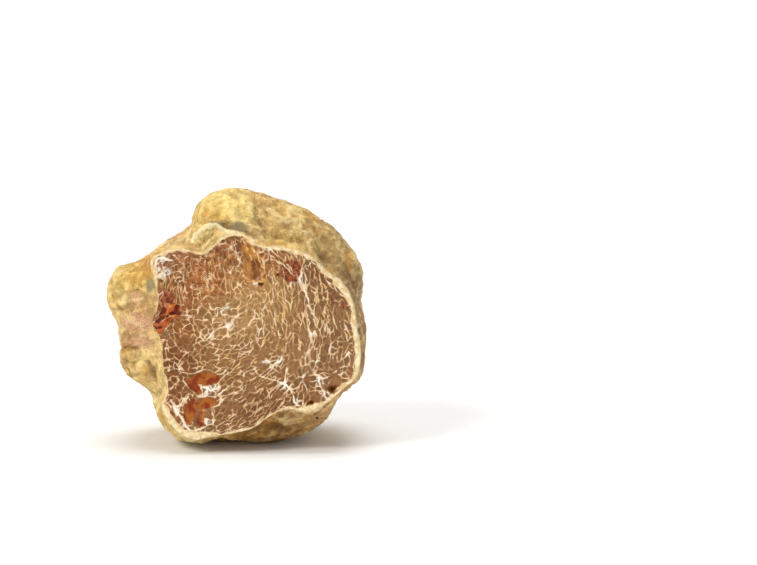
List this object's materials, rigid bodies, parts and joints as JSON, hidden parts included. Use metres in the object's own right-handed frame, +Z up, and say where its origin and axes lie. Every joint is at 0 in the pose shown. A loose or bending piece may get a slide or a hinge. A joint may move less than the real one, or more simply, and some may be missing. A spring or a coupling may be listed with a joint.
{
  "type": "cut white truffle",
  "caption": "Lumpy white truffle with one side sliced off, showing marbled flesh inside a thin pale rind; it rests on a small flat spot.",
  "frame": {"origin": "on the floor, under the middle of the body's box", "axes": "+Z up; -Y is the way the cut face looks, leaning 8 degrees back; +X to the right as the cut face is seen"},
  "size_m": [0.0724, 0.0528, 0.0705],
  "materials": {
    "truffle_rind": "matte"
  },
  "bodies": {
    "root": {"truffle": "truffle_rind"}
  },
  "joints": []
}
